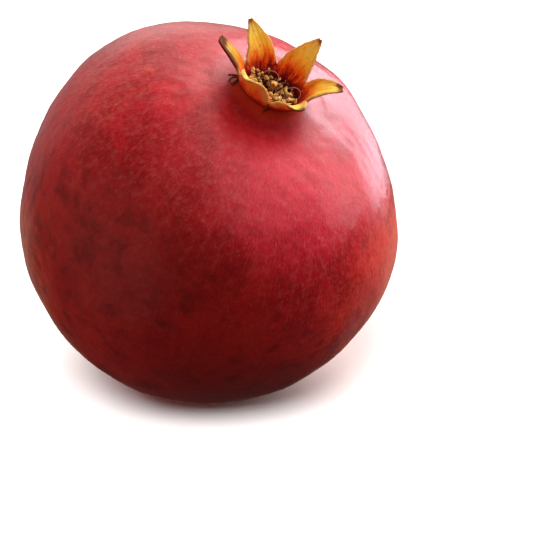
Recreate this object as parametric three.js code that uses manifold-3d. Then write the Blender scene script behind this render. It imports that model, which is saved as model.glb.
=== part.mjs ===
// A whole pomegranate, as picked and lying on a table.
//
// The fruit is a leathery, nearly round body with six blunt ribs. At one end the rind rises into a
// short neck that carries the crown: a cup with six pointed sepals, the dried stamens inside it and
// the style standing among them. At the other end is the woody stub of the stalk. The fruit leans,
// crown up, on a small flat of its own skin.
//
// Millimetres and degrees. +Z is up, the table is z = 0, and the origin is the middle of the flat
// that the fruit rests on. The crown leans towards +X and -Y.

import * as THREE from "three";
import { ParametricGeometry } from "three/addons/geometries/ParametricGeometry.js";
import { mergeGeometries, mergeVertices } from "three/addons/utils/BufferGeometryUtils.js";
import Module from "manifold-3d";

// ---------------------------------------------------------------- driving dimensions

// The body, as the distance of its skin from its centre.
const BODY = {
  radius: 52.5, // round the waist
  poleGain: 1.0, // how much further the two ends reach before their dimples
  crownDimple: { depth: 4.0, spread: 22 }, // the dish that the neck stands in
  stalkDimple: { depth: 2.6, spread: 13 },
  ribs: { count: 6, height: 0.53, turn: 12 },
  // Broad swellings and flats: place from the crown's pole and round the fruit, height and spread.
  swells: [
    { fromCrown: 68, round: 195, height: 3.2, spread: 33 },
    { fromCrown: 69, round: 203, height: -0.7, spread: 20 },
    { fromCrown: 56, round: 78, height: -2.0, spread: 29 },
    { fromCrown: 54, round: 70, height: 0.4, spread: 15 },
    { fromCrown: 42, round: 99, height: 1.4, spread: 12 },
    { fromCrown: 82, round: 43, height: 2.7, spread: 23 },
    { fromCrown: 128, round: -10, height: 0.7, spread: 34 },
    { fromCrown: 128, round: -79, height: 0.7, spread: 11 },
    { fromCrown: 30, round: 304, height: -2.4, spread: 20 },
  ],
  // A low ridge that runs from the neck over the shoulder. Its spreads are along and across it.
  ridge: { fromCrown: 26, round: 33, height: 0.5, along: 15, across: 11 },
};

// How the fruit lies: its axis leans from the vertical, in a direction round +Z from +X.
const LIE = { tilt: 33, towards: -52, centreHeight: 52.6, centreX: -0.7, centreY: -0.3 };

// The neck leaves the body at an angle from the pole, flares in and ends in a ring round the crown's
// socket.
const NECK = { foot: 19, radius: 9.5, flare: 0.8, top: 2.2, socketRadius: 8.7, socketDepth: 4.2 };

// The crown sits a little askew on the body's axis. Its heights are taken from the bottom of the dish.
const CROWN = { tilt: 7, towards: 141 };

// The calyx cup: its root fills the socket, and the middle of its wall ends in a rim.
const CUP = {
  rootRadius: 8.4,
  rootBottom: -3.9,
  flangeBottom: 2.5,
  rimHeight: 3.4,
  rimRadius: 9.5,
  wall: 1.1,
  boreRadius: 7.8,
  boreTop: 2.2,
  waistRadius: 7.3,
  waistHeight: -0.4,
  floorRadius: 6.7,
  floor: -2.5,
};

// The sepals in order round the crown, each between two notches in the rim. The tip is placed by the
// straight length from the rim, the lean out from the crown's axis and the swing round it. The midrib
// leaves the rim at its own lean, and its end curls beyond the lean.
const SEPALS = [
  { from: 20, to: 77, length: 9.8, lean: 55, swing: 2, start: 20, curl: 24, belly: 0.8, tipWidth: 2.0 },
  { from: 77, to: 139, length: 12.0, lean: 33, swing: -4, start: 24, curl: 4, belly: 0.58, tipWidth: 0.7 },
  { from: 139, to: 199, length: 11.9, lean: 40, swing: 13, start: 24, curl: 0, belly: 0.62, tipWidth: 0.7 },
  { from: 199, to: 241, length: 10.9, lean: 51, swing: 4, start: 40, curl: 2, belly: 0.2, tipWidth: 3.0 },
  { from: 241, to: 313, length: 6.8, lean: 38, swing: -8, start: 14, curl: 50, belly: 0.7, tipWidth: 2.6 },
  { from: 313, to: 380, length: 6.0, lean: 54, swing: -8, start: 36, curl: 34, belly: 0.3, tipWidth: 3.6 },
];
const BLADE = { notch: 0.35, edge: 0.75, tip: 0.7, reach: 0.36 };

// The dried stamens: a disc on the cup's floor with bent filaments, each ending in an anther.
const STAMENS = {
  count: 46,
  seed: 8,
  discRadius: 6.5,
  discBottom: -2.2,
  discTop: -1.3,
  boreRadius: 1.4,
  filamentRadius: 0.32,
  rootRadius: [2.6, 5.9],
  rise: [1.4, 4.0],
  wander: 1.8,
  reach: [2.4, 7.1],
  heap: { towards: 285, gather: 43, outwards: 1.6, higher: 2.2 }, // where most of them stand
  antherLength: 1.7,
  antherWidth: 1.05,
};

const STYLE = { radius: 0.6, footRadius: 1.05, bottom: -2.1, top: 4.4, stigmaRadius: 0.95 };

// The cut stub of the stalk, seated in a shallow socket.
const STALK = { socketRadius: 3.5, socketDepth: 1.6, rootRadius: 3.2, neckRadius: 2.5, length: 4.2 };

const GAP = 0.3; // left between neighbouring pieces

const FINISHES = {
  rind: { color: 0x9e1f26, roughness: 0.4 },
  calyx: { color: 0xc9802c, roughness: 0.6 },
  stamens: { color: 0xb98f4a, roughness: 0.8 },
  style: { color: 0x8a4a2a, roughness: 0.75 },
  stalk: { color: 0x6e4a2c, roughness: 0.85 },
};

// ---------------------------------------------------------------- helpers

const wasm = await Module();
wasm.setup();

const { clamp, degToRad, lerp, smoothstep } = THREE.MathUtils;
const TURN = 2 * Math.PI;
const UP = new THREE.Vector3(0, 0, 1);

// A closed skin laid through a list of rings. Each ring is a function of the angle round, and the
// first and the last ring are single points. Anticlockwise rings that climb face outwards.
function skin(rings, sides) {
  const last = rings.length - 1;
  const at = (u, v, target) => target.copy(rings[Math.round(v * last)](u * TURN));
  return new ParametricGeometry(at, sides, last);
}

const ringPoint = (radius, height, angle) =>
  new THREE.Vector3(radius * Math.cos(angle), radius * Math.sin(angle), height);

// Rings of a body of revolution about Z, from [radius, height] pairs.
const turned = (profile) => profile.map(([radius, height]) => (angle) => ringPoint(radius, height, angle));

// A closed geometry as a solid, with its shared vertices merged and its collapsed faces dropped.
function solidOf(geometry) {
  const bare = geometry.clone().deleteAttribute("normal").deleteAttribute("uv");
  const merged = mergeVertices(bare, 1e-4);
  const corners = merged.index.array;
  const triVerts = [];
  for (let i = 0; i < corners.length; i += 3) {
    const [a, b, c] = corners.subarray(i, i + 3);
    if (a !== b && b !== c && c !== a) triVerts.push(a, b, c);
  }
  const vertProperties = merged.attributes.position.array;
  return new wasm.Manifold(new wasm.Mesh({ numProp: 3, vertProperties, triVerts: new Uint32Array(triVerts) }));
}

function meshOf(name, solid, finish) {
  const { vertProperties, triVerts } = solid.getMesh();
  const geometry = new THREE.BufferGeometry()
    .setAttribute("position", new THREE.BufferAttribute(vertProperties, 3))
    .setIndex(new THREE.BufferAttribute(triVerts, 1));
  geometry.computeVertexNormals();
  const mesh = new THREE.Mesh(geometry, new THREE.MeshStandardMaterial({ metalness: 0, ...finish }));
  mesh.name = name;
  return mesh;
}

// A repeatable stream of numbers from 0 to 1.
function randomFrom(seed) {
  let state = seed;
  return () => {
    state = (state + 0x6d2b79f5) | 0;
    let t = Math.imul(state ^ (state >>> 15), 1 | state);
    t = (t + Math.imul(t ^ (t >>> 7), 61 | t)) ^ t;
    return ((t ^ (t >>> 14)) >>> 0) / 4294967296;
  };
}

const steps = (from, to, count) => Array.from({ length: count }, (_, i) => lerp(from, to, i / (count - 1)));

// ---------------------------------------------------------------- rind

// Unit vector at an angle from the crown's pole (+Z) and an angle round the fruit.
function heading(fromCrown, round) {
  const sine = Math.sin(fromCrown);
  return new THREE.Vector3(sine * Math.cos(round), sine * Math.sin(round), Math.cos(fromCrown));
}

const bell = (angle, spread) => Math.exp(-((angle / degToRad(spread)) ** 2));

// Distance of the skin from the fruit's centre.
function skinDistance(fromCrown, round) {
  const { radius, poleGain, crownDimple, stalkDimple, ribs, swells, ridge } = BODY;
  const here = heading(fromCrown, round);
  let distance = radius + poleGain * Math.cos(fromCrown) ** 2;
  distance -= crownDimple.depth * bell(fromCrown, crownDimple.spread);
  distance -= stalkDimple.depth * bell(Math.PI - fromCrown, stalkDimple.spread);
  distance += ribs.height * Math.sin(fromCrown) ** 2 * Math.cos(ribs.count * (round - degToRad(ribs.turn)));
  for (const swell of swells) {
    const middle = heading(degToRad(swell.fromCrown), degToRad(swell.round));
    distance += swell.height * bell(here.angleTo(middle), swell.spread);
  }
  const offRidge = 2 * Math.sin((round - degToRad(ridge.round)) / 2);
  distance += ridge.height * bell(fromCrown - degToRad(ridge.fromCrown), ridge.along) * bell(offRidge, ridge.across);
  return distance;
}

const skinPoint = (fromCrown, round) => heading(fromCrown, round).multiplyScalar(skinDistance(fromCrown, round));

// The crown's frame: its origin is on the body's axis at the bottom of the crown's dish.
const crownSeat = new THREE.Vector3(0, 0, skinDistance(0, 0));
const tiltAxis = heading(Math.PI / 2, degToRad(CROWN.towards + 90));
const crownTurn = (share) => new THREE.Quaternion().setFromAxisAngle(tiltAxis, degToRad(CROWN.tilt) * share);
const fromCrownFrame = (point, share = 1) => point.applyQuaternion(crownTurn(share)).add(crownSeat);

// The neck's outside is a quadratic curve for each angle round. It leaves the skin at the neck's foot
// along the skin's own slope, and ends upright at the neck's top. The share is 0 at the foot.
function neckPoint(share, round) {
  const foot = degToRad(NECK.foot);
  const start = skinPoint(foot, round);
  const ahead = skinPoint(foot - 0.001, round);
  const reach = [start, ahead].map(({ x, y }) => Math.hypot(x, y));
  const handle = start.clone().lerp(ahead, (reach[0] - NECK.radius - NECK.flare) / (reach[0] - reach[1]));
  const end = heading(Math.PI / 2, round).multiplyScalar(NECK.radius).setZ(crownSeat.z + NECK.top);
  const point = new THREE.QuadraticBezierCurve3(start, handle, end).getPoint(share);
  return fromCrownFrame(point.sub(crownSeat), share);
}

// From the floor of the stalk's socket, over the skin and the neck, to the floor of the crown's socket.
function rindSolid() {
  const { socketRadius: stalkRadius, socketDepth } = STALK;
  const stalkEdge = Math.asin(stalkRadius / skinDistance(Math.PI, 0));
  const stalkFloor = skinDistance(Math.PI, 0) - socketDepth;
  const latitudes = steps(Math.PI - stalkEdge, degToRad(NECK.foot), 37);
  const inCrown = (radius, height) => (round) => fromCrownFrame(ringPoint(radius, height, round));
  const rings = [
    ...turned([[0, -stalkFloor], [stalkRadius, -stalkFloor]]),
    ...latitudes.map((angle) => (round) => skinPoint(angle, round)),
    ...steps(0.2, 1, 5).map((share) => (round) => neckPoint(share, round)),
    inCrown(NECK.socketRadius, NECK.top),
    inCrown(NECK.socketRadius, -NECK.socketDepth),
    inCrown(0, -NECK.socketDepth),
  ];
  return solidOf(skin(rings, 66));
}

// ---------------------------------------------------------------- calyx

// The middle surface of a sepal's blade and the direction square to it. Across the blade, side runs
// from -1 to 1, and share runs from 0 at the rim to 1 at the tip. Every section is an arc, which is
// the rim's own level arc at the root, and turns square to the midrib as it shrinks with the blade.
function bladeAt(sepal, side, share) {
  const { from, to, length, lean, swing, start, curl, belly, tipWidth } = sepal;
  const round = degToRad((from + to) / 2);
  const halfSpan = degToRad((to - from) / 2);
  const outwards = heading(Math.PI / 2, round);
  const sideways = new THREE.Vector3().crossVectors(UP, outwards);
  const leaning = (out, aside) => UP.clone().multiplyScalar(Math.cos(degToRad(out)))
    .addScaledVector(outwards, Math.sin(degToRad(out))).multiplyScalar(Math.cos(degToRad(aside)))
    .addScaledVector(sideways, Math.sin(degToRad(aside)));

  const root = outwards.clone().multiplyScalar(CUP.rimRadius).addScaledVector(UP, CUP.rimHeight);
  const tip = root.clone().addScaledVector(leaning(lean, swing), length);
  const rise = root.clone().addScaledVector(leaning(start, 0), length * BLADE.reach);
  const bend = tip.clone().addScaledVector(leaning(lean + curl, swing * 1.2), -length * BLADE.reach);
  const midrib = new THREE.CubicBezierCurve3(root, rise, bend, tip);
  const slope = new THREE.QuadraticBezierCurve3(
    rise.clone().sub(root), bend.clone().sub(rise), tip.clone().sub(bend));

  const along = UP.clone().lerp(slope.getPoint(share).normalize(), smoothstep(share, 0, 0.35)).normalize();
  const across = sideways.clone().addScaledVector(along, -sideways.dot(along)).normalize();
  const face = new THREE.Vector3().crossVectors(across, along);
  const notch = BLADE.notch * (1 - Math.exp(-share / 0.03));
  const width = CUP.rimRadius * Math.sin(halfSpan) * (1 - share) * (1 + belly * share)
    - notch * (1 - share) + share * tipWidth / 2;
  const turn = side * halfSpan;
  const point = midrib.getPoint(share)
    .addScaledVector(across, (width * Math.sin(turn)) / Math.sin(halfSpan))
    .addScaledVector(face, (-width * (1 - Math.cos(turn))) / Math.sin(halfSpan));
  const square = face.multiplyScalar(Math.cos(turn)).addScaledVector(across, Math.sin(turn));
  return { point, square };
}

// A point on the inside (-1) or the outside (1) of a blade. It is thickest along the midrib.
function bladeFace(sepal, side, share, which) {
  const { point, square } = bladeAt(sepal, side, share);
  const blade = lerp(lerp(BLADE.edge, CUP.wall, Math.sqrt(1 - side ** 2)), BLADE.tip, share);
  const thickness = lerp(CUP.wall, blade, smoothstep(share, 0, 0.2));
  return point.addScaledVector(square, (which * thickness) / 2);
}

// One sepal with its sector of the cup: up the outside, over the tip and down the inside, and the
// two edges of the blade between its faces.
function sepalSector(sepal) {
  const { rootRadius, rootBottom, flangeBottom, boreRadius, boreTop, waistRadius, waistHeight } = CUP;
  const around = (side) => degToRad(lerp(sepal.from, sepal.to, (side + 1) / 2));
  const cupRow = (radius, height) => (side) => ringPoint(radius, height, around(side));
  const shares = [0, 0.05, 0.12, 0.22, 0.35, 0.5, 0.65, 0.8, 0.92, 1];
  const bladeRow = (which) => (share) => (side) => bladeFace(sepal, side, share, which);
  const rows = [
    cupRow(0, rootBottom),
    cupRow(rootRadius, rootBottom),
    cupRow(rootRadius, flangeBottom),
    cupRow(NECK.radius, flangeBottom),
    ...shares.map(bladeRow(1)),
    ...shares.toReversed().map(bladeRow(-1)),
    cupRow(boreRadius, boreTop),
    cupRow(waistRadius, waistHeight),
    cupRow(CUP.floorRadius, CUP.floor),
    cupRow(0, CUP.floor),
  ];
  const faces = new ParametricGeometry(
    (u, v, target) => target.copy(rows[Math.round(v * (rows.length - 1))](2 * u - 1)), 8, rows.length - 1);
  const edge = (side) => new ParametricGeometry(
    (u, v, target) => target.copy(bladeFace(sepal, side, shares[Math.round(v * (shares.length - 1))], side * (1 - 2 * u))),
    1, shares.length - 1);
  return [faces, edge(-1), edge(1)];
}

const calyxSolid = () => solidOf(mergeGeometries(SEPALS.flatMap(sepalSector)));

// ---------------------------------------------------------------- stamens and style

// A round or flattened rod along a curve, closed to a point at both ends.
function rod(curve, radii, sides, segments) {
  const { tangents, normals, binormals } = curve.computeFrenetFrames(segments, false);
  const ring = (i) => (angle) => curve.getPoint(i / segments)
    .addScaledVector(normals[i], radii(i / segments) * Math.cos(angle))
    .addScaledVector(binormals[i], radii(i / segments) * Math.sin(angle));
  const rings = Array.from({ length: segments + 1 }, (_, i) => ring(i));
  return solidOf(skin([() => curve.getPoint(0), ...rings, () => curve.getPoint(1)], sides));
}

function stamensSolid() {
  const s = STAMENS;
  const random = randomFrom(s.seed);
  const between = ([low, high]) => lerp(low, high, random());
  const disc = [
    [s.boreRadius, s.discBottom],
    [s.discRadius, s.discBottom],
    [s.discRadius, s.discTop],
    [s.boreRadius, s.discTop],
    [s.boreRadius, s.discBottom],
  ].map(([radius, height]) => new THREE.Vector2(radius, height));
  let solid = solidOf(new THREE.LatheGeometry(disc, 36).rotateX(Math.PI / 2));
  const goldenAngle = Math.PI * (3 - Math.sqrt(5));
  for (let i = 0; i < s.count; i++) {
    const golden = i * goldenAngle;
    const round = golden - degToRad(s.heap.gather) * Math.sin(golden - degToRad(s.heap.towards));
    const heaped = (1 + Math.cos(round - degToRad(s.heap.towards))) / 2;
    const radius = lerp(...s.rootRadius, Math.sqrt((i + 0.5) / s.count));
    const root = heading(Math.PI / 2, round).multiplyScalar(radius).setZ(s.discBottom + 0.3);
    const rise = between(s.rise) + s.heap.higher * heaped;
    const tipRound = round + degToRad(lerp(-40, 40, random()));
    const tipRadius = clamp(radius + s.heap.outwards * heaped + s.wander * (random() - 0.5), ...s.reach);
    const tip = heading(Math.PI / 2, tipRound).multiplyScalar(tipRadius).setZ(s.discTop + rise);
    const knee = root.clone().lerp(tip, 0.5);
    knee.add(heading(Math.PI / 2, random() * TURN).multiplyScalar(0.5)).setZ(lerp(root.z, tip.z, 0.65));
    const filament = new THREE.QuadraticBezierCurve3(root, knee, tip);
    solid = solid.add(rod(filament, () => s.filamentRadius, 4, 3));
    const lie = heading(degToRad(lerp(40, 100, random())), random() * TURN).multiplyScalar(s.antherLength / 2);
    const anther = new THREE.LineCurve3(tip.clone().sub(lie), tip.clone().add(lie));
    const plump = (share) => (s.antherWidth / 2) * Math.sin(Math.PI * lerp(0.18, 0.82, share));
    solid = solid.add(rod(anther, plump, 5, 2));
  }
  return solid;
}

function styleSolid() {
  const { radius, footRadius, bottom, top, stigmaRadius } = STYLE;
  const profile = [
    [0, bottom],
    [footRadius, bottom],
    [radius, bottom + 1.6],
    [radius, top - 1.1],
    [stigmaRadius, top - 0.6],
    [stigmaRadius * 0.8, top - 0.1],
    [0, top],
  ];
  return solidOf(skin(turned(profile), 12));
}

// ---------------------------------------------------------------- stalk

function stalkSolid() {
  const skinEnd = skinDistance(Math.PI, 0);
  const { socketDepth, rootRadius, neckRadius, length } = STALK;
  const root = skinEnd - socketDepth + GAP;
  const end = skinEnd + length;
  const profile = [
    [0, -end + 0.5],
    [neckRadius * 0.45, -end + 0.4],
    [neckRadius * 0.9, -end],
    [neckRadius * 1.08, -end + 0.5],
    [neckRadius, -end + 1.6],
    [neckRadius, -end + 2.6],
    [rootRadius, -skinEnd - 0.2],
    [rootRadius, -root],
    [0, -root],
  ];
  return solidOf(skin(turned(profile), 24));
}

// ---------------------------------------------------------------- assembly

const fruit = new THREE.Group();
fruit.position.set(LIE.centreX, LIE.centreY, LIE.centreHeight);
fruit.rotation.set(0, degToRad(LIE.tilt), degToRad(LIE.towards), "ZYX");
fruit.updateMatrix();

// The table takes a flat off the rind: a slab under z = 0, brought into the fruit's own frame.
const slab = new THREE.BoxGeometry(120, 120, 20).translate(0, 0, -10);
slab.applyMatrix4(fruit.matrix.clone().invert());
fruit.add(meshOf("rind", rindSolid().subtract(solidOf(slab)), FINISHES.rind));
fruit.add(meshOf("stem_stub", stalkSolid(), FINISHES.stalk));

const crown = new THREE.Group();
crown.position.copy(crownSeat);
crown.quaternion.copy(crownTurn(1));
crown.add(meshOf("calyx", calyxSolid(), FINISHES.calyx));
crown.add(meshOf("stamens", stamensSolid(), FINISHES.stamens));
crown.add(meshOf("style", styleSolid(), FINISHES.style));
fruit.add(crown);

const pomegranate = new THREE.Group();
pomegranate.add(fruit);
export default pomegranate;
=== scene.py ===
"""A whole pomegranate lying on a white table, its crown leaning towards the viewer.

Metres throughout. The fruit is worked out in its own frame, where +Z runs from the stalk to the crown,
and is then laid on the table, which is z = 0 in the row's frame.
"""

from math import asin, cos, pi, radians, sin, tan

import bpy
import bmesh
import numpy as np
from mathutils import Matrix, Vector


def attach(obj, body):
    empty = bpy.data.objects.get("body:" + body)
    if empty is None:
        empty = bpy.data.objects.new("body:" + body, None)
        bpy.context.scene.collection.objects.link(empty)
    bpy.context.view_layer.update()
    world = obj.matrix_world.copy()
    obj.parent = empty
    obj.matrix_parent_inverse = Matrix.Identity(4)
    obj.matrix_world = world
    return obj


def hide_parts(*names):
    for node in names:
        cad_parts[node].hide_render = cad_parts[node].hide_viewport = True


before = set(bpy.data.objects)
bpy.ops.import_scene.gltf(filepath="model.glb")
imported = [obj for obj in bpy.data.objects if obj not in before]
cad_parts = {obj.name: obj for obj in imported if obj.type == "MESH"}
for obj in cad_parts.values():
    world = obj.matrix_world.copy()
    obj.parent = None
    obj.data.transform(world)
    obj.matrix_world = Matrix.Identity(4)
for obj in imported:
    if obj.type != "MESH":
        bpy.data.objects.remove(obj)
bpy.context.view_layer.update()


# ------------------------------------------------------------- camera
# A long lens three fifths of a metre from the middle of the fruit, looking down on it by twenty degrees.
# It is turned a little to the right of the fruit and below it, so that the fruit sits high and left.

FRUIT_CENTRE = Vector((-0.0007, -0.0003, 0.0526))
CAMERA_DISTANCE = 0.600
CAMERA_ELEVATION = radians(20)
CAMERA_TURN_RIGHT = radians(1.97)
CAMERA_TILT_DOWN = radians(21.70)

camera = bpy.data.objects.new("camera", bpy.data.cameras.new("camera"))
camera.data.sensor_width = 36
camera.data.lens = 137.8
camera.data.clip_start = 0.01
camera.location = FRUIT_CENTRE + CAMERA_DISTANCE * Vector((0, -cos(CAMERA_ELEVATION), sin(CAMERA_ELEVATION)))
camera.rotation_euler = (pi / 2 - CAMERA_TILT_DOWN, 0, -CAMERA_TURN_RIGHT)
bpy.context.scene.collection.objects.link(camera)
bpy.context.scene.camera = camera


# --------------------------------------------- table and studio light
# A seamless white table, and soft boxes round the fruit. Two behind it on the right lie as a pale sheen
# on its right shoulder, one beside it and a warm one low at the back catch its edges, and two dim ones
# reach its front. The front of the studio is dark, so the fruit's belly falls off into shade.

def tone(red, green, blue):
    """Linear colour, with alpha, of a colour as it looks on screen, 0 to 255, by the sRGB curve: a
    straight foot, then ((c + 0.055) / 1.055) to the power 2.4."""
    screen = np.array([red, green, blue]) / 255
    linear = np.where(screen < 0.04045, screen / 12.92, ((screen + 0.055) / 1.055) ** 2.4)
    return (*linear.tolist(), 1.0)


class Nodes:
    """A node tree under construction. Each method adds a node and returns its output."""

    def __init__(self, tree):
        self.tree = tree

    def node(self, kind, inputs, output=0, **settings):
        made = self.tree.nodes.new("ShaderNode" + kind)
        for name, value in settings.items():
            setattr(made, name, value)
        for name, value in inputs.items():
            self.plug(made, name, value)
        return made.outputs[output]

    def plug(self, node, name, value):
        """Links a socket to an output, or sets it to a value."""
        if isinstance(value, bpy.types.NodeSocket):
            self.tree.links.new(value, node.inputs[name])
        else:
            node.inputs[name].default_value = value

    def remap(self, value, low, high, to_low=0.0, to_high=1.0, smooth=True):
        """Value taken from low..high to to_low..to_high, held at both ends."""
        return self.node("MapRange", {0: value, 1: low, 2: high, 3: to_low, 4: to_high},
                         interpolation_type="SMOOTHSTEP" if smooth else "LINEAR")

    def along(self, vector, direction):
        """How far a vector reaches along a direction."""
        return self.node("VectorMath", {0: vector, 1: direction}, "Value", operation="DOT_PRODUCT")

    def plus(self, first, second):
        return self.node("Math", {0: first, 1: second}, operation="ADD")

    def times(self, first, second):
        return self.node("Math", {0: first, 1: second}, operation="MULTIPLY")


class Finish(Nodes):
    """A material under construction, and the colour it has so far."""

    def __init__(self, name):
        self.colour = None
        self.material = bpy.data.materials.new(name)
        self.material.use_nodes = True
        super().__init__(self.material.node_tree)
        self.shader = self.tree.nodes["Principled BSDF"]

    def surface(self, **sockets):
        """Sets or links the shader's own sockets, named with underscores for spaces."""
        for name, value in sockets.items():
            self.plug(self.shader, name.replace("_", " "), value)

    def attribute(self, name, output="Fac"):
        return self.node("Attribute", {}, output, attribute_name=name)

    def scaled(self, vector, scale):
        return self.node("Mapping", {"Vector": vector, "Scale": scale})

    def noise(self, vector, scale, detail, roughness, distortion=0.0):
        return self.node("TexNoise", {"Vector": vector, "Scale": scale, "Detail": detail,
                                      "Roughness": roughness, "Distortion": distortion})

    def spots(self, vector, scale):
        return self.node("TexVoronoi", {"Vector": vector, "Scale": scale})

    def facing(self, vector, middle, direction):
        """How far a place lies from a middle along a direction."""
        offset = self.node("VectorMath", {0: vector, 1: middle}, operation="SUBTRACT")
        return self.along(offset, Vector(direction).normalized())

    def blend(self, share, first, second):
        """The first colour with a share of the second laid over it."""
        return self.node("Mix", {"Factor": share, "A": first, "B": second}, 2, data_type="RGBA")

    def lay(self, share, colour):
        """Lays a share of a colour over the material's own."""
        self.colour = self.blend(share, self.colour, colour)

    def ramp(self, value, stops):
        """Colour along a ramp, from a list of (place, red, green, blue), as in tone."""
        made = self.tree.nodes.new("ShaderNodeValToRGB")
        self.tree.links.new(value, made.inputs[0])
        elements = made.color_ramp.elements
        for element, (place, *colour) in zip(elements, stops[:2]):
            element.position, element.color = place, tone(*colour)
        for place, *colour in stops[2:]:
            elements.new(place).color = tone(*colour)
        return made.outputs[0]

    def bump(self, height, strength, distance, under=None):
        """Normals bent by a height, on top of those of another bump if one is given."""
        inputs = {"Height": height, "Strength": strength, "Distance": distance}
        if under is not None:
            inputs["Normal"] = under
        return self.node("Bump", inputs)


TABLE_HALF = 4.0

table_mesh = bpy.data.meshes.new("table")
table_mesh.from_pydata([(x * TABLE_HALF, y * TABLE_HALF, 0) for x, y in ((-1, -1), (1, -1), (1, 1), (-1, 1))],
                       [], [(0, 1, 2, 3)])
table = bpy.data.objects.new("table", table_mesh)
bpy.context.scene.collection.objects.link(table)
# The table throws no light back at the fruit. What the underside sees is the room below.
table.visible_diffuse = table.visible_glossy = table.visible_shadow = False

paper = Finish("white_paper")
paper.surface(Base_Color=tone(250, 249, 248), Roughness=0.6, Specular_IOR_Level=0.2)
table.data.materials.append(paper.material)


def compass(from_back, elevation):
    """Direction from the fruit: degrees round from straight behind it towards the right, and degrees up,
    as the sines and cosines of the two."""
    turn, rise = radians(from_back), radians(elevation)
    return Vector((sin(turn) * cos(rise), cos(turn) * cos(rise), sin(rise)))


# The boxes light the fruit alone. Two suns light the paper alone: a whole sky, and a key from the front.
beyond_paper = bpy.data.collections.new("beyond_paper")
only_paper = bpy.data.collections.new("only_paper")
for group, state in ((beyond_paper, "EXCLUDE"), (only_paper, "INCLUDE")):
    group.objects.link(table)
    group.collection_objects[0].light_linking.link_state = state


def studio_light(name, kind, direction, colour, receivers):
    """A light from a direction, on one group of things only."""
    light = bpy.data.objects.new(name, bpy.data.lights.new(name, kind))
    light.data.color = colour
    light.rotation_euler = direction.to_track_quat("Z", "Y").to_euler()
    bpy.context.scene.collection.objects.link(light)
    light.light_linking.receiver_collection = receivers
    return light


BOX_DISTANCE = 0.9


def soft_box(name, direction, wide, tall, radiance, colour, glossy=True):
    """An area light that faces the fruit, sized by the angles it fills there: twice the distance times
    the tangent of half the angle."""
    box = studio_light(name, "AREA", direction, colour, beyond_paper)
    lamp = box.data
    lamp.shape = "RECTANGLE"
    lamp.size, lamp.size_y = (2 * BOX_DISTANCE * tan(radians(angle) / 2) for angle in (wide, tall))
    lamp.energy = radiance * pi * lamp.size * lamp.size_y
    box.location = FRUIT_CENTRE + direction * BOX_DISTANCE
    box.visible_camera, box.visible_glossy = False, glossy


soft_box("back_right_light", compass(42, 17), 36, 54, 2.9, (0.88, 0.95, 1.08))
soft_box("back_right_core", compass(41, 33), 32, 26, 2.6, (0.88, 0.96, 1.10))
soft_box("right_light", compass(86, 24), 40, 54, 1.85, (1.0, 0.93, 0.96))
soft_box("low_back_glow", compass(0, -27), 120, 18, 0.36, (1.0, 0.60, 0.38))
soft_box("overhead_fill", compass(168, 62), 60, 60, 0.75, (1.0, 0.93, 0.88), glossy=False)
soft_box("left_fill", compass(-105, -5), 90, 70, 0.75, (1.0, 0.85, 0.75), glossy=False)


def paper_light(name, direction, angle, strength, colour):
    """A sun of the given angular width that lights the paper alone, from a direction."""
    sun = studio_light(name, "SUN", direction, colour, only_paper)
    sun.data.energy, sun.data.angle = strength, radians(angle)


paper_light("paper_sky", compass(0, 90), 180, 0.8, (1.0, 0.66, 0.63))
paper_light("paper_key", compass(-168, 47), 34, 4.6, (1.0, 1.0, 1.0))

# The room: white to the camera, and to the fruit a dim space that glows high on the right, lower down
# behind it, and faintly at the right. Each glow: where it is, the cosines of the angles from there at
# which it begins and is full, and its strength.
ROOM = tone(255, 244, 240)
DIM = 0.04
GLOWS = [
    (compass(38, 59), 0.90, 0.995, 2.3),
    (compass(26, 56), 0.70, 0.97, 0.8),
    (compass(106, 44), 0.62, 0.95, 1.0),
    (compass(-12, 24), 0.50, 0.90, 0.34),
    (compass(-8, 22), 0.92, 0.99, 1.0),
    (compass(104, 4), 0.90, 0.985, 0.15),
    (compass(46, -24), 0.90, 0.98, 0.15),
]

world = bpy.data.worlds.new("studio")
world.use_nodes = True
bpy.context.scene.world = world
room = Nodes(world.node_tree)
looking = room.node("TexCoord", {}, "Generated")
glow = DIM
for towards, begins, full, strength in GLOWS:
    glow = room.plus(room.remap(room.along(looking, towards), begins, full, 0.0, strength), glow)
seen = room.node("Math", {0: glow, 1: room.node("LightPath", {}, "Is Camera Ray")}, operation="MAXIMUM")
backdrop = room.tree.nodes["Background"]
room.plug(backdrop, "Color", ROOM)
room.plug(backdrop, "Strength", seen)

bpy.context.scene.view_settings.view_transform = "Standard"


# --------------------------------------------------------------- rind
# The leathery skin of the fruit, in one piece with the short neck that carries the crown. Six blunt
# ribs and a few broad swellings shape the body. It sags flat where it lies on the table.

SKIN_RADIUS, POLE_GAIN = 0.0525, 0.0010
CROWN_DIMPLE, CROWN_DIMPLE_SPREAD = 0.0040, radians(22)
STALK_DIMPLE, STALK_DIMPLE_SPREAD = 0.0026, radians(13)
RIBS, RIB_HEIGHT, RIB_TURN = 6, 0.00053, radians(12)
# Swellings and flats: angle from the crown, angle round, height and spread.
SWELLS = [
    (radians(68), radians(195), 0.0032, radians(33)),
    (radians(69), radians(203), -0.0007, radians(20)),
    (radians(56), radians(78), -0.0020, radians(29)),
    (radians(54), radians(70), 0.0004, radians(15)),
    (radians(42), radians(99), 0.0014, radians(12)),
    (radians(82), radians(43), 0.0027, radians(23)),
    (radians(128), radians(-10), 0.0007, radians(34)),
    (radians(128), radians(-79), 0.0007, radians(11)),
    (radians(30), radians(304), -0.0024, radians(20)),
]
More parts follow.
